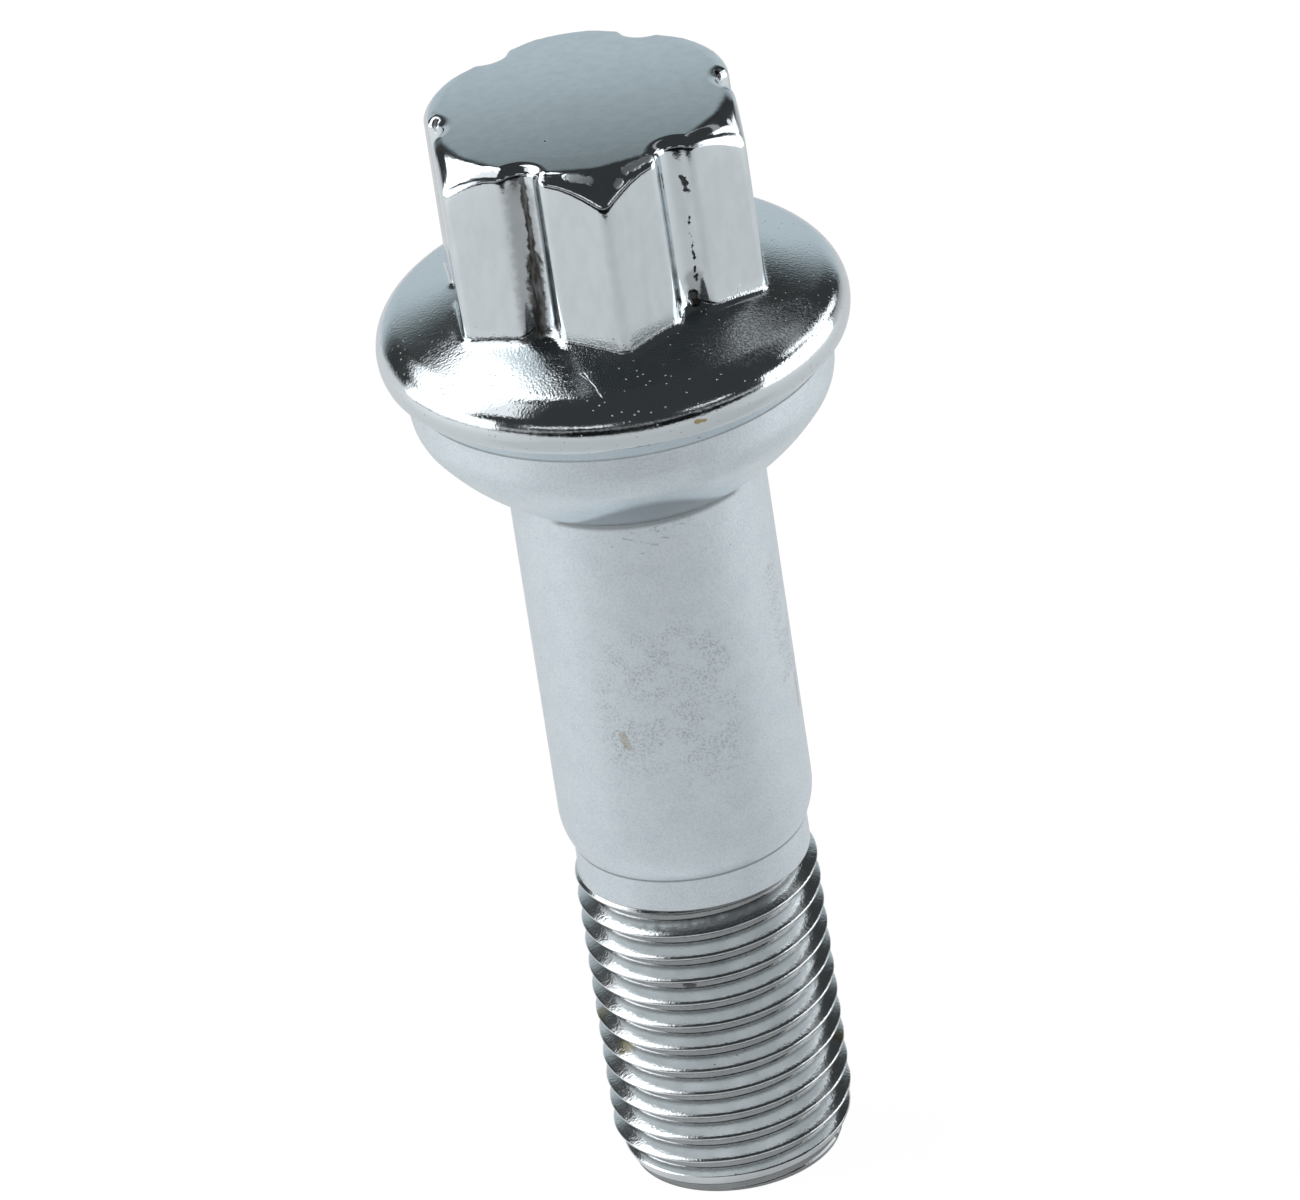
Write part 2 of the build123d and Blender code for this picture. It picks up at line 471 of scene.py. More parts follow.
def add_head(skin, s, flange_ring, level_turns):
    """Builds the sloping flange, the fluted head and the crown on the flange's ring."""
    flat, normals = head_section(s)
    radii = np.linalg.norm(flat, axis=1)
    flat_turns = 2 * pi * np.arange(LOBES) / LOBES
    across = flat @ np.array((np.cos(flat_turns), np.sin(flat_turns)))
    depths = (s.half_flats - np.max(across, axis=1)) / s.flute_depth
    fillet = s.foot_fillet + (s.flute_foot - s.foot_fillet) * np.clip(depths, 0, 1)
    foot = flat + normals * fillet[:, None]
    foot_radii = np.linalg.norm(foot, axis=1)
    foot_turns = np.unwrap(np.arctan2(foot[:, 1], foot[:, 0]))
    ring_radius = slope_start(s)
    turns = level_turns + 2 * pi * np.round((foot_turns - level_turns) / (2 * pi))
    flange_rows = []
    for u in np.linspace(0, 1, FLANGE_ROWS + 1)[1:]:
        row_radii = ring_radius + (foot_radii - ring_radius) * u
        row_turns = turns + (foot_turns - turns) * u
        row = np.column_stack((row_radii * np.cos(row_turns), row_radii * np.sin(row_turns)))
        flange_rows.append(joined(row, flange_height(s, row_radii)))
    wall_foot = flange_height(s, radii)
    wall_low = wall_foot + fillet
    foot_start = joined(foot, flange_height(s, foot_radii))
    foot_rows = bend(foot_start, joined(flat, wall_foot), joined(flat, wall_low), FOOT_ROWS)
    flat_angles = np.arctan2(flat[:, 1], flat[:, 0])
    flute_angles = np.abs((flat_angles + HALF_LOBE) % (2 * HALF_LOBE) - HALF_LOBE)
    from_flute = (flute_angles - MOUTH_ANGLES[0]) / (MOUTH_ANGLES[1] - MOUTH_ANGLES[0])
    near_flute = 1 - np.clip(from_flute, 0, 1)
    edge = s.crown_edge + (s.mouth_edge - s.crown_edge) * near_flute
    edge_heights = crown_height(s, flat)
    wall_high = edge_heights - edge
    wall_places = np.linspace(0, 1, WALL_ROWS + 1)[1:-1]
    wall_rows = [joined(flat, wall_low + (wall_high - wall_low) * u) for u in wall_places]
    inner = flat - normals * edge[:, None]
    edge_end = joined(inner, crown_height(s, inner))
    edge_rows = bend(joined(flat, wall_high), joined(flat, edge_heights), edge_end, EDGE_ROWS)
    inner_radii = np.linalg.norm(inner, axis=1)
    cap_ring = inner * (CAP_SHARE * inner_radii.min() / inner_radii)[:, None]
    crown_rings = []
    for u in np.linspace(0, 1, CROWN_ROWS + 1)[1:]:
        crown_rings.append(inner + (cap_ring - inner) * u**CROWN_CROWDING)
    crown_rings += [cap_ring * u for u in CAP_RINGS]
    crown_rows = [joined(ring, crown_height(s, ring)) for ring in crown_rings]
    low = flange_ring
    for row in flange_rows + foot_rows[1:] + wall_rows + edge_rows + crown_rows:
        high = skin.ring(row)
        skin.band(low, high, BRIGHT)
        low = high
    skin.cap(low, (0.0, 0.0, s.bolt_length), BRIGHT, upwards=True)


def bolt_skin(s):
    """The whole skin of the bolt: thread and end face, neck to rim, then flange and head."""
    skin = Skin()
    count = len(head_section(s)[0])
    start = -pi / 2 - HALF_LOBE
    level_turns = start + 2 * pi * np.arange(count) / count
    end_ring, neck_ring = add_thread(skin, s, count // 2)
    end_points = [skin.points[i] for i in end_ring]
    inner_ring = skin.ring((END_RING * x, END_RING * y, z) for x, y, z in end_points)
    skin.band(inner_ring, end_ring, ROLLED)
    skin.cap(inner_ring, (0.0, 0.0, 0.0), ROLLED, upwards=False)
    profile, below_crease = body_profile(s)
    rings = [skin.ring(circle_ring(r, z, level_turns)) for r, z in profile]
    for row, (low, high) in enumerate(zip(rings, rings[1:])):
        skin.band(low, high, SATIN if row + 1 < below_crease else BRIGHT)
    # the thread's ring starts at +X, the neck's ring at the middle of a flute
    turned = round(-start / (2 * pi) * count)
    matched = rings[0][turned:] + rings[0][:turned]
    skin.step_band(neck_ring, matched, SATIN)
    add_head(skin, s, rings[-1], level_turns)
    return skin


class Mark(NamedTuple):
    """A worn or dirty mark, in millimetres: the line it follows, its width and how ragged it is."""

    start: tuple
    end: tuple
    width: float
    ragged: float


# Dirt that stayed in the front left flute and at the feet of the lobes
GRIME_MARKS = (
    Mark((-4.05, -6.6, 66.4), (-4.05, -6.6, 60.5), 0.42, 0.5),
    Mark((-4.05, -6.6, 61.5), (-4.3, -6.55, 57.0), 0.9, 0.8),
    Mark((-8.1, -4.9, 56.55), (-5.0, -6.9, 56.6), 0.22, 0.5),
    Mark((4.2, -6.6, 57.2), (5.0, -6.3, 56.9), 0.35, 0.5),
)
# Thin film of dirt beside the thick one
FILM_MARKS = (
    Mark((-4.3, -6.6, 65.5), (-4.5, -6.6, 57.2), 1.7, 0.6),
    Mark((4.4, -6.5, 58.6), (4.6, -6.4, 57.0), 1.2, 0.6),
)
# Painted shade on the edges of the two front flutes, where each flute darkens itself
FLUTE_EDGE_SHADE_MARKS = (
    Mark((-3.22, -7.35, 66.0), (-3.3, -7.2, 57.4), 0.55, 0.1),
    Mark((3.35, -7.35, 66.0), (3.4, -7.25, 57.4), 0.4, 0.1),
)
# Pits and holes in the plating of the head
PIT_MARKS = (
    Mark((4.73, -6.4, 64.8), (4.7, -6.4, 64.1), 0.45, 1.0),
    Mark((4.68, -6.4, 62.4), (4.5, -6.4, 57.8), 0.2, 0.55),
    Mark((4.2, -6.5, 57.6), (4.3, -6.5, 57.1), 0.6, 0.3),
    Mark((-7.85, 0.85, 66.9), (-7.85, 0.85, 66.5), 0.45, 0.4),
    Mark((7.7, 0.65, 67.0), (7.7, 0.65, 66.7), 0.45, 0.4),
)
# Scratches on the flange
SCRATCH_MARKS = (
    Mark((-2.5, -10.1, 55.9), (-1.8, -11.9, 55.2), 0.11, 0.15),
    Mark((-2.9, -9.8, 56.0), (-2.2, -10.9, 55.6), 0.07, 0.1),
)
# Burrs on the front of the crown that catch the light
BURR_MARKS = (
    Mark((-1.7, -8.35, 67.1), (-0.5, -8.73, 66.8), 0.5, 0.3),
    Mark((0.95, -8.95, 66.4), (1.05, -8.9, 66.45), 0.5, 0.2),
    Mark((1.5, -8.5, 66.95), (3.1, -7.75, 67.1), 0.5, 0.35),
)
# Dull places on the flange
HAZE_MARKS = (
    Mark((5.0, -9.6, 55.8), (10.0, -6.6, 55.2), 3.4, 1.6),
    Mark((6.0, -10.4, 55.2), (9.0, -8.6, 55.0), 1.6, 1.2),
)
# Yellow stains on the rim, the shank and the thread
RIM_STAINS = (
    Mark((3.1, -12.85, 53.2), (3.5, -12.75, 53.1), 0.3, 0.4),
)
SHANK_STAINS = (
    Mark((-3.25, -6.45, 31.0), (-3.1, -6.5, 30.2), 0.45, 0.7),
    Mark((6.97, -1.8, 30.2), (6.95, -1.85, 28.4), 0.5, 0.6),
)
THREAD_STAINS = (
    Mark((-6.6, -0.7, 10.3), (-6.6, -0.7, 9.5), 1.3, 1.0),
    Mark((-5.7, -2.6, 9.0), (-5.6, -2.7, 8.5), 1.1, 1.0),
    Mark((6.35, -1.4, 6.6), (6.35, -1.4, 5.8), 1.2, 1.0),
)
# Rubbed places on the shank
SCUFF_MARKS = (
    Mark((-2.3, -6.8, 35.3), (-2.4, -6.7, 30.5), 4.4, 3.0),
    Mark((0.0, -7.2, 36.2), (1.6, -7.0, 35.0), 3.4, 2.5),
    Mark((1.6, -7.0, 34.0), (1.2, -7.1, 29.5), 4.0, 3.0),
    Mark((6.6, -2.9, 37.5), (6.7, -2.6, 31.0), 2.6, 2.0),
    Mark((-0.5, -7.2, 43.9), (2.9, -6.6, 43.9), 0.5, 0.8),
)
# Brush marks under the seat
BRUSH_MARKS = (
    Mark((-1.6, -7.0, 43.6), (0.2, -7.2, 42.9), 0.12, 0.2),
    Mark((-1.1, -7.1, 43.9), (0.9, -7.15, 43.2), 0.1, 0.2),
    Mark((-2.3, -6.8, 43.1), (-0.6, -7.15, 42.5), 0.1, 0.2),
)
# Nicks in the thread
NICK_MARKS = (
    Mark((-1.9, -5.7, 13.8), (-1.5, -5.75, 13.8), 0.4, 0.4),
    Mark((5.4, -2.6, 0.6), (5.45, -2.6, 0.2), 0.5, 0.4),
)


def fill(tree, socket, value):
    """Gives a socket a plain value or links it to another socket."""
    if isinstance(value, bpy.types.NodeSocket):
        tree.links.new(value, socket)
    else:
        socket.default_value = value


def add_node(tree, kind, inputs, **options):
    """Adds a node with its options and its inputs, by name or number, and returns its outputs."""
    made = tree.nodes.new(kind)
    for option, value in options.items():
        setattr(made, option, value)
    for key, value in inputs.items():
        fill(tree, made.inputs[key], value)
    return made.outputs


def maths(tree, operation, *values):
    """A number made from numbers."""
    return add_node(tree, "ShaderNodeMath", dict(enumerate(values)), operation=operation)[0]


def times(tree, product, *factors):
    """The product of some numbers or masks."""
    for factor in factors:
        product = maths(tree, "MULTIPLY", product, factor)
    return product


def most(tree, highest, *others):
    """The highest of some numbers or masks."""
    for other in others:
        highest = maths(tree, "MAXIMUM", highest, other)
    return highest


def vectors(tree, operation, *values):
    """A vector, or a length or product, made from vectors."""
    outputs = add_node(tree, "ShaderNodeVectorMath", dict(enumerate(values)), operation=operation)
    return outputs["Value" if operation in ("DOT_PRODUCT", "DISTANCE", "LENGTH") else "Vector"]


def scaled(tree, vector, factor):
    """A vector times a number."""
    return add_node(tree, "ShaderNodeVectorMath", {0: vector, "Scale": factor}, operation="SCALE")["Vector"]


def between(tree, value, low, high):
    """0 at one value and 1 at the other, with a smooth step."""
    inputs = {"Value": value, "From Min": low, "From Max": high}
    return add_node(tree, "ShaderNodeMapRange", inputs, interpolation_type="SMOOTHSTEP")["Result"]


def opaque(value):
    """A plain colour with its alpha, or a socket as it is."""
    return value if isinstance(value, bpy.types.NodeSocket) else (*value, 1.0)


def painted(tree, ground, *layers):
    """A ground colour with other colours over it, each where its mask is 1."""
    for mask, tone in layers:
        inputs = {0: mask, 6: opaque(ground), 7: opaque(tone)}
        ground = add_node(tree, "ShaderNodeMix", inputs, data_type="RGBA")[2]
    return ground


def mix_numbers(tree, mask, first, second):
    """The first number where the mask is 0 and the second where it is 1."""
    return add_node(tree, "ShaderNodeMix", {0: mask, 2: first, 3: second}, data_type="FLOAT")[0]


def noise(tree, place, scale, detail=2.0):
    """Cloudy noise: its value and its three separate values."""
    inputs = {"Vector": place, "Scale": scale, "Detail": detail}
    outputs = add_node(tree, "ShaderNodeTexNoise", inputs)
    return outputs["Fac"], outputs["Color"]


def new_group(name, places, numbers, results):
    """A new node group: its tree, what it is given (places and numbers) and the numbers that it returns."""
    tree = bpy.data.node_groups.new(name, "ShaderNodeTree")
    for socket in places:
        tree.interface.new_socket(socket, in_out="INPUT", socket_type="NodeSocketVector")
    for socket in numbers:
        tree.interface.new_socket(socket, in_out="INPUT", socket_type="NodeSocketFloat")
    for socket in results:
        tree.interface.new_socket(socket, in_out="OUTPUT", socket_type="NodeSocketFloat")
    given = tree.nodes.new("NodeGroupInput").outputs
    result = tree.nodes.new("NodeGroupOutput").inputs
    return tree, given, result


def grain_group():
    """Group for the plating's fine grain and its wider clouds."""
    tree, given, result = new_group("Plating grain", ("Place",), ("Size",), ("Grain", "Cloud"))
    fine_scale = maths(tree, "DIVIDE", 1.0, given["Size"])
    wide_scale = maths(tree, "DIVIDE", 0.09, given["Size"])
    fill(tree, result["Grain"], noise(tree, given["Place"], fine_scale)[0])
    fill(tree, result["Cloud"], noise(tree, given["Place"], wide_scale, detail=4.0)[0])
    return tree


def mark_group():
    """Group for a mark along a line, with a ragged edge."""
    tree, given, result = new_group(
        "Mark", ("Place", "Wobble", "Start", "End"), ("Width", "Ragged"), ("Mask",)
    )
    torn = vectors(tree, "ADD", given["Place"], scaled(tree, given["Wobble"], given["Ragged"]))
    span = vectors(tree, "SUBTRACT", given["End"], given["Start"])
    way = vectors(tree, "SUBTRACT", torn, given["Start"])
    reach = {0: vectors(tree, "DOT_PRODUCT", way, span), 1: vectors(tree, "DOT_PRODUCT", span, span)}
    along = add_node(tree, "ShaderNodeMath", reach, operation="DIVIDE", use_clamp=True)[0]
    gap = vectors(tree, "DISTANCE", way, scaled(tree, span, along))
    fill(tree, result["Mask"], between(tree, maths(tree, "DIVIDE", gap, given["Width"]), 0.62, 0.3))
    return tree


def specks_group():
    """Group for scattered specks."""
    tree, given, result = new_group("Specks", ("Place",), ("Spacing", "Radius", "Share"), ("Mask",))
    inputs = {"Vector": given["Place"], "Scale": maths(tree, "DIVIDE", 1.0, given["Spacing"])}
    cells = add_node(tree, "ShaderNodeTexVoronoi", inputs)
    chance = add_node(tree, "ShaderNodeSeparateColor", {"Color": cells["Color"]})["Red"]
    kept = maths(tree, "LESS_THAN", chance, given["Share"])
    gap = times(tree, cells["Distance"], given["Spacing"])
    near = between(tree, maths(tree, "DIVIDE", gap, given["Radius"]), 1.0, 0.5)
    fill(tree, result["Mask"], times(tree, near, kept))
    return tree


class Coat:
    """A metal material with the places that its effects are painted by, in millimetres."""

    def __init__(self, name, groups):
        self.material = bpy.data.materials.new(name)
        self.material.use_nodes = True
        self.tree = self.material.node_tree
        self.shader = self.tree.nodes["Principled BSDF"]
        self.groups = groups
        where = add_node(self.tree, "ShaderNodeTexCoord", {})["Object"]
        self.place = scaled(self.tree, where, 1 / MM)
        split = add_node(self.tree, "ShaderNodeSeparateXYZ", {0: self.place})
        self.side = split["X"]
        self.height = split["Z"]
        cloudy = noise(self.tree, self.place, 2.4, detail=5.0)[1]
        self.wobble = vectors(self.tree, "SUBTRACT", cloudy, (0.5, 0.5, 0.5))

    def placed(self, group, **inputs):
        """The outputs of a node group, given this coat's places and its own values."""
        inputs["Place"] = self.place
        return add_node(self.tree, "ShaderNodeGroup", inputs, node_tree=self.groups[group])

    def grain(self, size):
        """The fine grain and the clouds at a size."""
        outputs = self.placed("grain", Size=size)
        return outputs["Grain"], outputs["Cloud"]

    def specks(self, spacing, radius, kept):
        """A mask of scattered specks, of which a share is kept."""
        return self.placed("specks", Spacing=spacing, Radius=radius, Share=kept)["Mask"]

    def marks(self, marks, strength=None):
        """A mask of all the given marks together, full or up to a strength."""
        masks = []
        for mark in marks:
            values = {name.title(): value for name, value in mark._asdict().items()}
            masks.append(self.placed("mark", Wobble=self.wobble, **values)["Mask"])
        together = most(self.tree, *masks)
        return together if strength is None else times(self.tree, together, strength)

    def streaks(self, across, along):
        """Noise stretched along the axis, with its size across and along in millimetres."""
        stretched = vectors(self.tree, "MULTIPLY", self.place, (1 / across, 1 / across, 1 / along))
        return noise(self.tree, stretched, 1.0, detail=3.0)[0]

    def level_line(self, height):
        """A mask of a thin line round the bolt at a height."""
        gap = maths(self.tree, "ABSOLUTE", maths(self.tree, "SUBTRACT", self.height, height))
        return between(self.tree, gap, 0.11, 0.03)

    def bump(self, height, distance, normal=None):
        """A normal bent by a height, over a distance in millimetres."""
        inputs = {"Height": height, "Distance": distance * MM}
        if normal is not None:
            inputs["Normal"] = normal
        return add_node(self.tree, "ShaderNodeBump", inputs)["Normal"]

    def finish(self, **values):
        """Gives the shader its values and returns the material."""
        for name, value in values.items():
            fill(self.tree, self.shader.inputs[name.replace("_", " ").title()], value)
        return self.material


def bright_plating(s, f, groups):
    """Bright plating of the head and flange, with orange peel, pits, burrs, dirt, dull places and painted
    shade on the front flutes' edges.
    """
    coat = Coat("bright_plating", groups)
    tree = coat.tree
    rim = s.rim_height / MM
    peel, cloud = coat.grain(size=0.14)
    on_flange = between(tree, coat.height, rim + 4.1, rim + 3.3)
    caked = mix_numbers(tree, between(tree, coat.streaks(across=0.22, along=1.1), 0.35, 0.62), 0.55, 0.95)
    grime = times(tree, coat.marks(GRIME_MARKS), caked)
    pits = most(tree, coat.marks(PIT_MARKS), coat.specks(spacing=2.6, radius=0.1, kept=0.25))
    flecks = times(tree, coat.specks(spacing=0.3, radius=0.055, kept=0.3), on_flange)
    haze = times(tree, coat.marks(HAZE_MARKS), between(tree, peel, 0.35, 0.6))
    burrs = coat.marks(BURR_MARKS)
    streaked = between(tree, coat.streaks(across=0.7, along=1.6), 0.3, 0.75)
    shade = maths(tree, "SUBTRACT", streaked, on_flange)
    paint = painted(
        tree,
        f.bright_colour,
        (shade, f.bright_shade),
        # painted shade on the edges of the two front flutes
        (coat.marks(FLUTE_EDGE_SHADE_MARKS, strength=0.6), f.pit_colour),
        (coat.marks(FILM_MARKS, strength=0.38), f.grime_colour),
        (coat.marks(RIM_STAINS), f.stain_colour),
        (pits, f.pit_colour),
        (grime, f.grime_colour),
    )
    soft = mix_numbers(tree, between(tree, cloud, 0.4, 0.75), f.bright_roughness, f.bright_roughness * 2)
    worn = most(tree, times(tree, haze, 0.3), times(tree, flecks, 0.6), times(tree, burrs, 0.55))
    flange_peel = mix_numbers(tree, between(tree, coat.height, rim + 0.7, rim + 1.7), 0.35, 0.8)
    peeled = coat.bump(times(tree, peel, mix_numbers(tree, on_flange, 0.15, flange_peel)), distance=0.016)
    raised = coat.bump(burrs, distance=0.038, normal=peeled)
    cut = most(tree, pits, coat.marks(SCRATCH_MARKS), flecks)
    return coat.finish(
        base_color=paint,
        roughness=most(tree, soft, worn, times(tree, grime, 0.55)),
        metallic=maths(tree, "SUBTRACT", 1.0, times(tree, grime, 0.8)),
        normal=coat.bump(cut, distance=-0.06, normal=raised),
    )


def satin_plating(s, f, groups):
    """Satin plating of the seat, shank and neck, with grain, scuffs, stains, and painted shade under the seat
    and in its creases.
    """
    coat = Coat("satin_plating", groups)
    tree = coat.tree
    seat = s.seat_bottom / MM
    grain, cloud = coat.grain(size=0.13)
    speckle = times(tree, between(tree, grain, 0.44, 0.72), between(tree, cloud, 0.4, 0.6))
    rubbed = times(tree, coat.marks(SCUFF_MARKS), speckle)
    scuffs = most(tree, rubbed, coat.marks(BRUSH_MARKS), coat.specks(spacing=0.7, radius=0.07, kept=0.2))
    # painted shade in the hollow under the seat, front and back, below an edge that falls towards the sides
    edge = maths(tree, "MULTIPLY_ADD", times(tree, coat.side, coat.side), 0.13, coat.height)
    above = between(tree, coat.height, seat - 0.45, seat - 0.15)
    hollow = times(tree, above, between(tree, edge, seat + 3.65, seat + 2.75))
    # painted shade as thin lines in the creases at the neck's top and under the rim
    lines = most(tree, coat.level_line(s.neck_top / MM), coat.level_line(s.crease_height / MM))
    clouds = times(tree, between(tree, cloud, 0.34, 0.66), 0.24)
    mottle = maths(tree, "MULTIPLY_ADD", between(tree, grain, 0.35, 0.75), 0.7, clouds)
    painted_shade = most(tree, times(tree, hollow, 0.58), times(tree, lines, 0.6))
    paint = painted(
        tree,
        f.satin_colour,
        (mottle, f.satin_shade),
        (times(tree, scuffs, 0.5), f.scuff_colour),
        (coat.marks(SHANK_STAINS, strength=0.42), f.stain_colour),
        (painted_shade, f.pit_colour),
    )
    return coat.finish(
        base_color=paint,
        roughness=mix_numbers(tree, cloud, f.satin_roughness * 0.96, f.satin_roughness * 1.12),
        metallic=1.0,
        normal=coat.bump(grain, distance=0.016),
    )


def rolled_plating(s, f, groups):
    """Plating of the rolled thread, with painted shade in its grooves and at its run-out, with stains and
    nicks.
    """
    coat = Coat("rolled_plating", groups)
    tree = coat.tree
    root = (s.thread_radius - s.thread_depth) / MM
    end = s.thread_length / MM
    grain, cloud = coat.grain(size=0.16)
    level = vectors(tree, "MULTIPLY", coat.place, (1.0, 1.0, 0.0))
    # painted shade in the thread's grooves
    groove = between(tree, vectors(tree, "LENGTH", level), root + 0.34, root + 0.06)
    torn = add_node(tree, "ShaderNodeSeparateXYZ", {0: coat.wobble})["Z"]
    ragged_height = maths(tree, "MULTIPLY_ADD", torn, 0.5, coat.height)
    # painted shade in a ragged band at the run-out, under the neck
    run_out = times(
        tree,
        between(tree, ragged_height, end - 0.6, end - 0.35),
        between(tree, ragged_height, end + 0.3, end + 0.1),
        between(tree, maths(tree, "ABSOLUTE", coat.side), 5.5, 3.0),
    )
    nicks = most(tree, coat.marks(NICK_MARKS), coat.specks(spacing=1.1, radius=0.07, kept=0.35))
    painted_shade = most(tree, times(tree, groove, 0.55), times(tree, run_out, 0.75))
    paint = painted(
        tree,
        f.rolled_colour,
        (between(tree, cloud, 0.3, 0.72), f.rolled_shade),
        (painted_shade, f.pit_colour),
        (coat.marks(THREAD_STAINS, strength=0.7), f.stain_colour),
        (times(tree, nicks, 0.8), f.pit_colour),
    )
    return coat.finish(
        base_color=paint,
        roughness=mix_numbers(tree, cloud, f.rolled_roughness * 0.7, f.rolled_roughness * 1.5),
        metallic=1.0,
        normal=coat.bump(grain, distance=0.014),
    )


class BOLT_OT_make_bolt(bpy.types.Operator):
    """Build the plated bolt around the CAD solid"""

    bl_idname = "bolt.make_bolt"
    bl_label = "Make bolt"

    def execute(self, context):
        sizes = context.scene.wheel_bolt_sizes
        finish = context.scene.wheel_bolt_finish
        mesh = bolt_skin(sizes).mesh("plated_bolt")
        groups = {"grain": grain_group(), "mark": mark_group(), "specks": specks_group()}
        for make in (bright_plating, satin_plating, rolled_plating):
            mesh.materials.append(make(sizes, finish, groups))
        bolt = bpy.data.objects.new("plated_bolt", mesh)
        context.collection.objects.link(bolt)
        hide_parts(NODE)
        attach(bolt, "root")
        return {"FINISHED"}


# how far cards lie above the floor
CARD_RISE = 0.0005
# height that the lamps face
FLANGE_MIDDLE = 0.054
DARK = (0.02, 0.021, 0.022)
GREY = (0.7, 0.7, 0.7)
WHITE = (1.0, 1.0, 1.0)
STUDIO_COLOUR = (0.04, 0.042, 0.043)
# glow of the floor, and its share in what the camera and the plating see of it
FLOOR_GLOW = 1.08
GLOW_SEEN = 0.9
GLOW_REFLECTED = 0.31
# tones of the backdrop, from its foot to its top, with the middle and the depth of their arched edges
BACKDROP_TONES = (
    (0.49, (0.52, 0.58, 0.615)),
    (0.67, (0.29, 0.335, 0.345)),
    (0.8, (0.10, 0.115, 0.12)),
    (0.95, (0.03, 0.03, 0.03)),
)
BACKDROP_MIDDLE = 0.45
BACKDROP_ARCH = 2.6


class Lamp(NamedTuple):
    """A soft white panel that faces the flange.

    Its side is an angle from the front to the right and its rise one above the level. Angles are in degrees.
    """

    name: str
    side: float
    rise: float
    reach: float
    width: float
    height: float
    radiance: float
    roll: float


LAMPS = (
    Lamp("left_softbox", -110, 38, 0.6, 0.85, 0.39, 2.1, -54),
    Lamp("left_front_softbox", -78, 42, 0.6, 0.43, 0.24, 1.0, -58),
    Lamp("left_panel", -90, -1, 0.2, 0.2, 0.08, 1.4, 0),
    Lamp("right_panel", 88, -4, 0.2, 0.19, 0.12, 1.6, 0),
    Lamp("right_softbox", 106, 15, 0.3, 0.25, 0.045, 1.4, -27),
    Lamp("front_left_strip", -30, 8, 0.4, 0.3, 0.02, 1.3, 0),
    Lamp("front_right_strip", 34, 8, 0.4, 0.15, 0.02, 1.3, 0),
    Lamp("right_strip", 112, 42, 0.3, 0.36, 0.05, 0.32, 40),
)


def put(name, data, place):
    """Puts an object into the scene at a place, given as a matrix."""
    made = bpy.data.objects.new(name, data)
    made.matrix_world = place
    bpy.context.scene.collection.objects.link(made)
    return made


def plane(name, width, height, place, material):
    """A flat stage card or floor."""
    mesh = bpy.data.meshes.new(name)
    x, y = width / 2, height / 2
    mesh.from_pydata([(-x, -y, 0), (x, -y, 0), (x, y, 0), (-x, y, 0)], [], [(0, 1, 2, 3)])
    mesh.materials.append(material)
    card = put(name, mesh, place)
    return card


def facing(place, target):
    """Matrix at a place whose local -Z looks at a target, with its local Y upwards."""
    place, target = Vector(place), Vector(target)
    turn = (target - place).to_track_quat("-Z", "Y")
    return Matrix.LocRotScale(place, turn, None)


def add_lamp(panel):
    """Lights a panel, which shows in the plating and not to the camera."""
    light = bpy.data.lights.new(panel.name, "AREA")
    light.shape = "RECTANGLE"
    light.size, light.size_y = panel.width, panel.height
    light.energy = panel.radiance * pi * panel.width * panel.height
    side, rise = radians(panel.side), radians(panel.rise)
    level = cos(rise) * panel.reach
    place = (sin(side) * level, -cos(side) * level, FLANGE_MIDDLE + sin(rise) * panel.reach)
    roll = Matrix.Rotation(radians(panel.roll), 4, "Z")
    lamp = put(panel.name, light, facing(place, (0.0, 0.0, FLANGE_MIDDLE)) @ roll)
    lamp.visible_camera = False


def card_material(name, base, glow=0.0):
    """Matt paint of a floor or card, with its own glow where it stands for a lit surface."""
    material = bpy.data.materials.new(name)
    material.use_nodes = True
    inputs = material.node_tree.nodes["Principled BSDF"].inputs
    inputs["Base Color"].default_value = opaque(base)
    inputs["Roughness"].default_value = 1.0
    inputs["Specular IOR Level"].default_value = 0.0
    inputs["Emission Color"].default_value = opaque(base)
    inputs["Emission Strength"].default_value = glow
    return material


def floor_material(base):
    """Pale floor that shows white and keeps a soft shadow."""
    material = card_material("pale_floor", base)
    tree = material.node_tree
    path = add_node(tree, "ShaderNodeLightPath", {})
    seen = times(tree, path["Is Camera Ray"], GLOW_SEEN)
    part = maths(tree, "MULTIPLY_ADD", path["Is Glossy Ray"], GLOW_REFLECTED, seen)
    paint = tree.nodes["Principled BSDF"].outputs[0]
    glow = add_node(tree, "ShaderNodeEmission", {"Strength": FLOOR_GLOW})[0]
    mixed = add_node(tree, "ShaderNodeMixShader", {"Fac": part, 1: paint, 2: glow})[0]
    fill(tree, tree.nodes["Material Output"].inputs["Surface"], mixed)
    return material


def backdrop_material():
    """Grey cloth behind the bolt, with a painted glow that stands for light from below, so that it darkens
    upwards.
    """
    material = card_material("backdrop", BACKDROP_TONES[-1][1], glow=1.0)
    tree = material.node_tree
    place = add_node(tree, "ShaderNodeTexCoord", {})["Generated"]
    split = add_node(tree, "ShaderNodeSeparateXYZ", {0: place})
    aside = maths(tree, "SUBTRACT", split["X"], BACKDROP_MIDDLE)
    height = maths(tree, "MULTIPLY_ADD", times(tree, aside, aside), BACKDROP_ARCH, split["Y"])
    ramp = tree.nodes.new("ShaderNodeValToRGB")
    stops = ramp.color_ramp.elements
    while len(stops) < len(BACKDROP_TONES):
        stops.new(1.0)
    for stop, (position, tone) in zip(stops, BACKDROP_TONES):
        stop.position = position
        stop.color = opaque(tone)
    fill(tree, ramp.inputs["Fac"], height)
    fill(tree, tree.nodes["Principled BSDF"].inputs["Emission Color"], ramp.outputs["Color"])
    return material


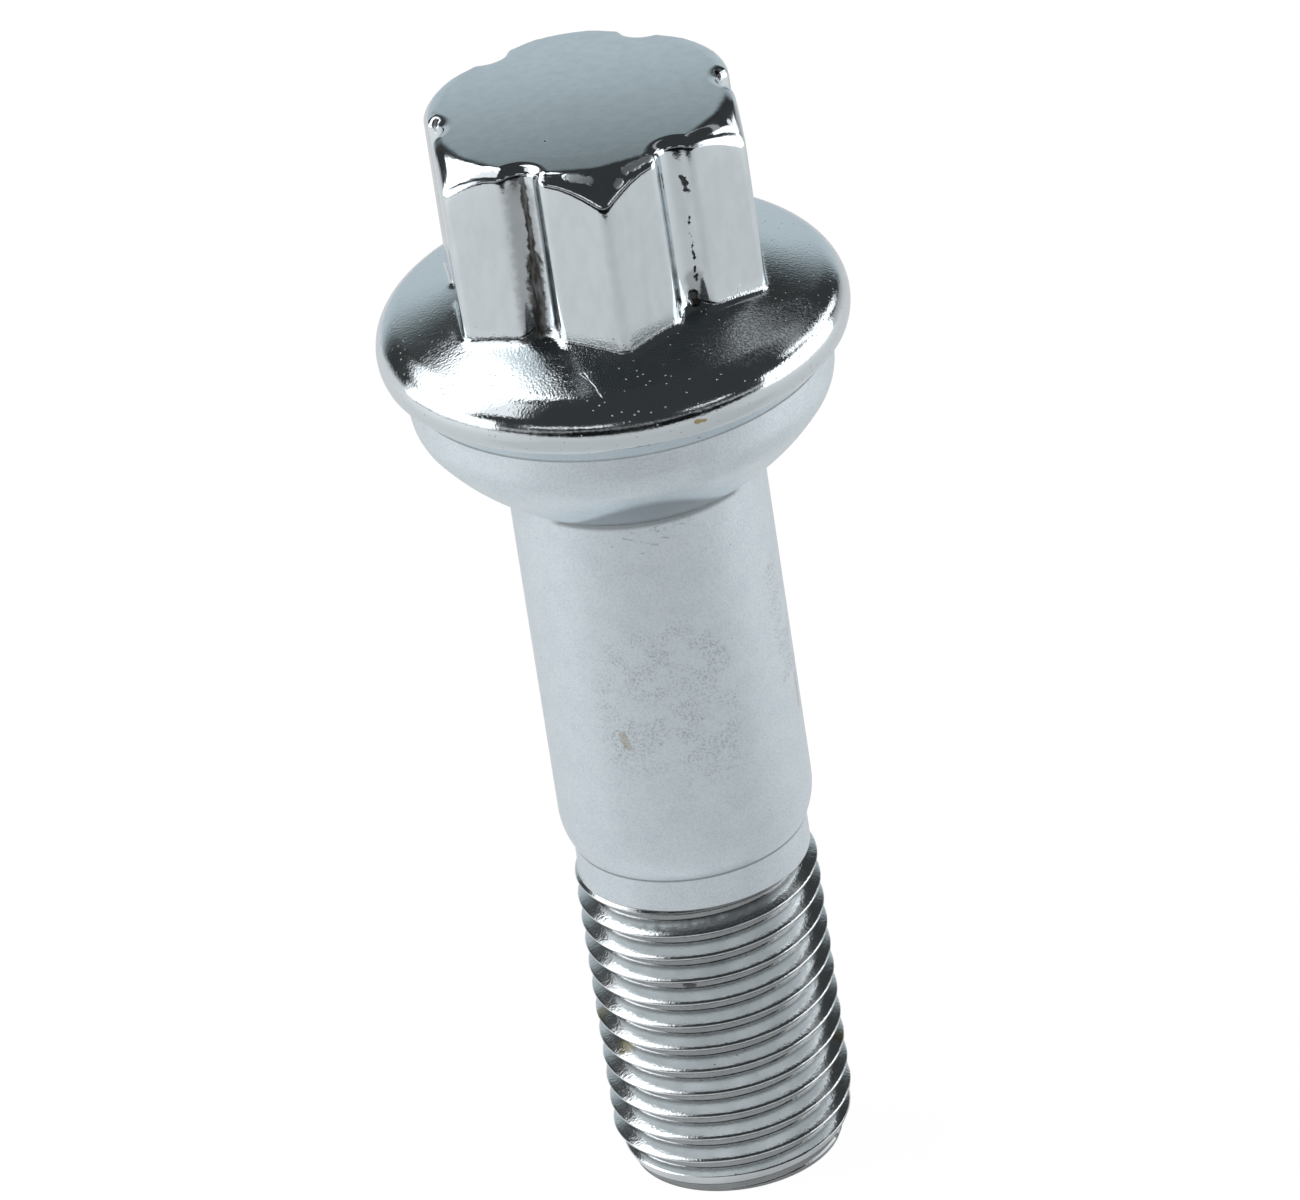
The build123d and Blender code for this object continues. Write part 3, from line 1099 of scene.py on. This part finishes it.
def set_world(scene):
    """White for the camera, and a dark studio for the plating."""
    scene.world = bpy.data.worlds.new("studio")
    scene.world.use_nodes = True
    tree = scene.world.node_tree
    studio = tree.nodes["Background"]
    studio.inputs["Color"].default_value = opaque(STUDIO_COLOUR)
    seen = add_node(tree, "ShaderNodeLightPath", {})["Is Camera Ray"]
    white = add_node(tree, "ShaderNodeBackground", {"Color": opaque(WHITE)})[0]
    mixed = add_node(tree, "ShaderNodeMixShader", {"Fac": seen, 1: studio.outputs[0], 2: white})[0]
    fill(tree, tree.nodes["World Output"].inputs["Surface"], mixed)


def set_camera(scene, s):
    """Camera at the photograph's viewing angle and scale."""
    camera = bpy.data.cameras.new("camera")
    camera.sensor_width = SENSOR_WIDTH
    camera.lens = s.pixels_per_metre * s.view_distance / PHOTO_WIDTH * SENSOR_WIDTH
    camera.clip_start = 0.01
    camera.clip_end = 20.0
    right = Vector((cos(s.view_turn), sin(s.view_turn), 0.0))
    back = Vector((sin(s.view_turn), -cos(s.view_turn), 0.0)) * cos(s.view_height)
    back += Vector((0.0, 0.0, sin(s.view_height)))
    aim = Vector((0.0, 0.0, s.aim_height)) + right * s.aim_side
    turn = (-back).to_track_quat("-Z", "Y").to_matrix().to_4x4()
    roll = Matrix.Rotation(s.view_roll, 4, "Z")
    place = Matrix.Translation(aim + back * s.view_distance)
    scene.camera = put("camera", camera, place @ turn @ roll)


class BOLT_OT_set_stage(bpy.types.Operator):
    """Set the floor, the lights and the camera"""

    bl_idname = "bolt.set_stage"
    bl_label = "Set stage"

    def execute(self, context):
        scene = context.scene
        stage = scene.wheel_bolt_stage
        scene.view_settings.view_transform = "Standard"
        set_world(scene)
        plane("floor", 4.0, 4.0, Matrix.Identity(4), floor_material(stage.floor_colour))
        grey = card_material("grey_card", GREY, glow=0.33)
        dark = card_material("dark_card", DARK)
        upright = facing((0.0, 0.36, 0.22), (0.0, 0.0, 0.22))
        cards = (
            plane("shank_card", 0.14, 0.07, Matrix.Translation((0.0, -0.05, CARD_RISE)), grey),
            plane("front_card", 0.7, 0.6, Matrix.Translation((0.0, -0.45, CARD_RISE)), dark),
            plane("left_card", 0.3, 0.35, Matrix.Translation((-0.37, -0.08, 2 * CARD_RISE)), dark),
            plane("backdrop", 0.58, 0.44, upright, backdrop_material()),
        )
        # the cards show in the plating alone
        for card in cards:
            card.visible_camera = False
            card.visible_shadow = False
        for panel in LAMPS:
            add_lamp(panel)
        set_camera(scene, stage)
        return {"FINISHED"}


class BOLT_PT_panel(bpy.types.Panel):
    """Lists the steps that build the bolt"""

    bl_idname = "BOLT_PT_panel"
    bl_label = "Wheel bolt"
    bl_space_type = "VIEW_3D"
    bl_region_type = "UI"
    bl_category = "Bolt"

    def draw(self, context):
        self.layout.operator(BOLT_OT_make_bolt.bl_idname)
        self.layout.operator(BOLT_OT_set_stage.bl_idname)


SETTINGS = {
    "wheel_bolt_sizes": WheelBoltSizes,
    "wheel_bolt_finish": WheelBoltFinish,
    "wheel_bolt_stage": WheelBoltStage,
}
CLASSES = (*SETTINGS.values(), BOLT_OT_make_bolt, BOLT_OT_set_stage, BOLT_PT_panel)


def register():
    """Registers the classes and gives the scene its settings."""
    for cls in CLASSES:
        bpy.utils.register_class(cls)
    for name, group in SETTINGS.items():
        setattr(bpy.types.Scene, name, PointerProperty(type=group))


def unregister():
    """Takes the settings and the classes away again."""
    for name in SETTINGS:
        delattr(bpy.types.Scene, name)
    for cls in reversed(CLASSES):
        bpy.utils.unregister_class(cls)


def main():
    """Builds the bolt and its stage."""
    register()
    bpy.ops.bolt.make_bolt()
    bpy.ops.bolt.set_stage()


if __name__ == "__main__":
    main()
